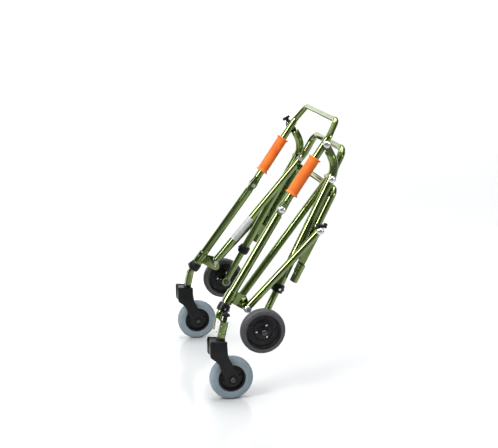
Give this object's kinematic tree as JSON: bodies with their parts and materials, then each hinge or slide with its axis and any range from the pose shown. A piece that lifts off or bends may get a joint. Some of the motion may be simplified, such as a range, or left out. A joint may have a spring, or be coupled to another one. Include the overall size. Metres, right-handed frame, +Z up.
{
  "type": "folding posterior walker",
  "caption": "Folded reverse walker: two hinged side frames joined by U-shaped back bars, with orange grips, swivel casters in front and fixed wheels behind.",
  "frame": {"origin": "on the floor under the middle of the folded walker's bounding box", "axes": "+X to the walker's rear, where the U-shaped back bars are; +Y to its right; +Z up, as it stands folded on its casters"},
  "size_m": [0.4437, 0.5922, 0.7905],
  "materials": {
    "frame_green": "glossy clear-coated anodised green tube",
    "black_plastic": "matt moulded plastic",
    "grip_orange": "matt moulded rubber",
    "front_tyre_grey": "matt blue-grey soft tyre",
    "rear_tyre_grey": "matt dark grey tyre",
    "bright_metal": "bright plated steel",
    "dark_metal": "blackened steel axles and their caps",
    "label_white": "plain wrapped film"
  },
  "bodies": {
    "main_frame": {"main_frame_bar": "frame_green", "frame_label": "label_white"},
    "upper_bar": {"upper_back_bar": "frame_green"},
    "front_legs": {"left_front_leg_tube": "frame_green", "left_front_bracket": "frame_green", "left_frame_pivot": "bright_metal", "left_front_collar": "black_plastic", "left_strut_pivot": "bright_metal", "right_front_leg_tube": "frame_green", "right_front_bracket": "frame_green", "right_frame_pivot": "bright_metal", "right_front_collar": "black_plastic", "right_strut_pivot": "bright_metal"},
    "handle_frame": {"left_handle_rail": "frame_green", "left_handle_pivot": "bright_metal", "left_hand_grip": "grip_orange", "right_handle_rail": "frame_green", "right_handle_pivot": "bright_metal", "right_hand_grip": "grip_orange"},
    "rear_frame": {"lower_back_bar": "frame_green", "left_rear_leg_tube": "frame_green", "left_top_pivot": "bright_metal", "left_rear_collar": "black_plastic", "right_rear_leg_tube": "frame_green", "right_top_pivot": "bright_metal", "right_rear_collar": "black_plastic"},
    "lower_struts": {"left_lower_strut": "frame_green", "left_knee_pivot": "bright_metal", "right_lower_strut": "frame_green", "right_knee_pivot": "bright_metal"},
    "brace_levers": {"left_brace_lever": "frame_green", "right_brace_lever": "frame_green"},
    "left_front_extension": {"left_front_extension": "frame_green"},
    "left_swivel_lock": {"left_swivel_lock": "black_plastic"},
    "left_caster": {"left_caster_fork": "black_plastic", "left_front_axle": "dark_metal"},
    "left_front_wheel": {"left_front_hub": "black_plastic", "left_front_tyre": "front_tyre_grey"},
    "left_rear_extension": {"left_rear_extension": "frame_green", "left_rear_axle": "dark_metal"},
    "left_rear_wheel": {"left_rear_hub": "black_plastic", "left_rear_tyre": "rear_tyre_grey"},
    "left_clamp_knob": {"left_clamp_knob": "bright_metal"},
    "left_front_button": {"left_front_button": "bright_metal"},
    "left_rear_button": {"left_rear_button": "bright_metal"},
    "right_front_extension": {"right_front_extension": "frame_green"},
    "right_swivel_lock": {"right_swivel_lock": "black_plastic"},
    "right_caster": {"right_caster_fork": "black_plastic", "right_front_axle": "dark_metal"},
    "right_front_wheel": {"right_front_hub": "black_plastic", "right_front_tyre": "front_tyre_grey"},
    "right_rear_extension": {"right_rear_extension": "frame_green", "right_rear_axle": "dark_metal"},
    "right_rear_wheel": {"right_rear_hub": "black_plastic", "right_rear_tyre": "rear_tyre_grey"},
    "right_clamp_knob": {"right_clamp_knob": "bright_metal"},
    "right_front_button": {"right_front_button": "bright_metal"},
    "right_rear_button": {"right_rear_button": "bright_metal"}
  },
  "joints": [
    {"name": "fold", "type": "hinge", "parent": "main_frame", "child": "front_legs", "pos_m": [-0.11, 0, 0.281], "axis": [0, -1, 0], "range_deg": [0, 27]},
    {"name": "rear_frame_fold", "type": "hinge", "parent": "main_frame", "child": "rear_frame", "pos_m": [0.159, 0, 0.6145], "axis": [0, -1, 0], "range_deg": [0, 40.57]},
    {"name": "handle_fold", "type": "hinge", "parent": "front_legs", "child": "handle_frame", "pos_m": [0.0125, 0, 0.5305], "axis": [0, -1, 0], "range_deg": [-50.42, 0]},
    {"name": "lower_strut_fold", "type": "hinge", "parent": "front_legs", "child": "lower_struts", "pos_m": [-0.104, 0, 0.259], "axis": [0, -1, 0], "range_deg": [-38.04, 0]},
    {"name": "brace_lever_fold", "type": "hinge", "parent": "rear_frame", "child": "brace_levers", "pos_m": [0.07, 0, 0.397], "axis": [0, -1, 0], "range_deg": [0, 45.49]},
    {"name": "upper_bar_slide", "type": "slide", "parent": "handle_frame", "child": "upper_bar", "axis": [0.5613, 0, 0.8276], "range_m": [0, 0.035]},
    {"name": "left_front_leg_slide", "type": "slide", "parent": "front_legs", "child": "left_front_extension", "axis": [-0.5548, -0.1375, -0.8205], "range_m": [0, 0.05]},
    {"name": "left_rear_leg_slide", "type": "slide", "parent": "rear_frame", "child": "left_rear_extension", "axis": [-0.4734, -0.1019, -0.875], "range_m": [-0.03, 0.02]},
    {"name": "left_swivel_lock_slide", "type": "slide", "parent": "left_front_extension", "child": "left_swivel_lock", "axis": [0.2079, 0, 0.9781], "range_m": [0, 0.006]},
    {"name": "left_caster_swivel", "type": "hinge", "parent": "left_front_extension", "child": "left_caster", "pos_m": [-0.20982, -0.264, 0.07473], "axis": [0.2079, 0, 0.9781], "continuous": true},
    {"name": "left_front_wheel_spin", "type": "hinge", "parent": "left_caster", "child": "left_front_wheel", "pos_m": [-0.157, -0.264, 0.0635], "axis": [0, 1, 0], "continuous": true},
    {"name": "left_rear_wheel_spin", "type": "hinge", "parent": "left_rear_extension", "child": "left_rear_wheel", "pos_m": [-0.0655, -0.27, 0.199], "axis": [0, 1, 0], "continuous": true},
    {"name": "left_clamp_knob_turn", "type": "hinge", "parent": "rear_frame", "child": "left_clamp_knob", "pos_m": [0.14, -0.2, 0.7185], "axis": [0, 1, 0], "continuous": true},
    {"name": "left_front_button_press", "type": "slide", "parent": "front_legs", "child": "left_front_button", "axis": [0, 1, 0], "range_m": [0, 0.0024], "stiffness_N_per_m": 600},
    {"name": "left_rear_button_press", "type": "slide", "parent": "rear_frame", "child": "left_rear_button", "axis": [0, 1, 0], "range_m": [0, 0.0024], "stiffness_N_per_m": 600},
    {"name": "right_front_leg_slide", "type": "slide", "parent": "front_legs", "child": "right_front_extension", "axis": [-0.5548, 0.1375, -0.8205], "range_m": [0, 0.05]},
    {"name": "right_rear_leg_slide", "type": "slide", "parent": "rear_frame", "child": "right_rear_extension", "axis": [-0.4734, 0.1019, -0.875], "range_m": [-0.03, 0.02]},
    {"name": "right_swivel_lock_slide", "type": "slide", "parent": "right_front_extension", "child": "right_swivel_lock", "axis": [0.2079, 0, 0.9781], "range_m": [0, 0.006]},
    {"name": "right_caster_swivel", "type": "hinge", "parent": "right_front_extension", "child": "right_caster", "pos_m": [-0.20982, 0.264, 0.07473], "axis": [0.2079, 0, 0.9781], "continuous": true},
    {"name": "right_front_wheel_spin", "type": "hinge", "parent": "right_caster", "child": "right_front_wheel", "pos_m": [-0.157, 0.264, 0.0635], "axis": [0, 1, 0], "continuous": true},
    {"name": "right_rear_wheel_spin", "type": "hinge", "parent": "right_rear_extension", "child": "right_rear_wheel", "pos_m": [-0.0655, 0.27, 0.199], "axis": [0, 1, 0], "continuous": true},
    {"name": "right_clamp_knob_turn", "type": "hinge", "parent": "rear_frame", "child": "right_clamp_knob", "pos_m": [0.14, 0.2, 0.7185], "axis": [0, 1, 0], "continuous": true},
    {"name": "right_front_button_press", "type": "slide", "parent": "front_legs", "child": "right_front_button", "axis": [0, -1, 0], "range_m": [0, 0.0024], "stiffness_N_per_m": 600},
    {"name": "right_rear_button_press", "type": "slide", "parent": "rear_frame", "child": "right_rear_button", "axis": [0, -1, 0], "range_m": [0, 0.0024], "stiffness_N_per_m": 600}
  ],
  "couplings": [
    {"joint": "rear_frame_fold", "follows": "fold", "ratio": 1.4951},
    {"joint": "handle_fold", "follows": "fold", "ratio": -1.8599},
    {"joint": "lower_strut_fold", "follows": "fold", "ratio": -1.4014},
    {"joint": "brace_lever_fold", "follows": "fold", "ratio": 1.6773}
  ]
}
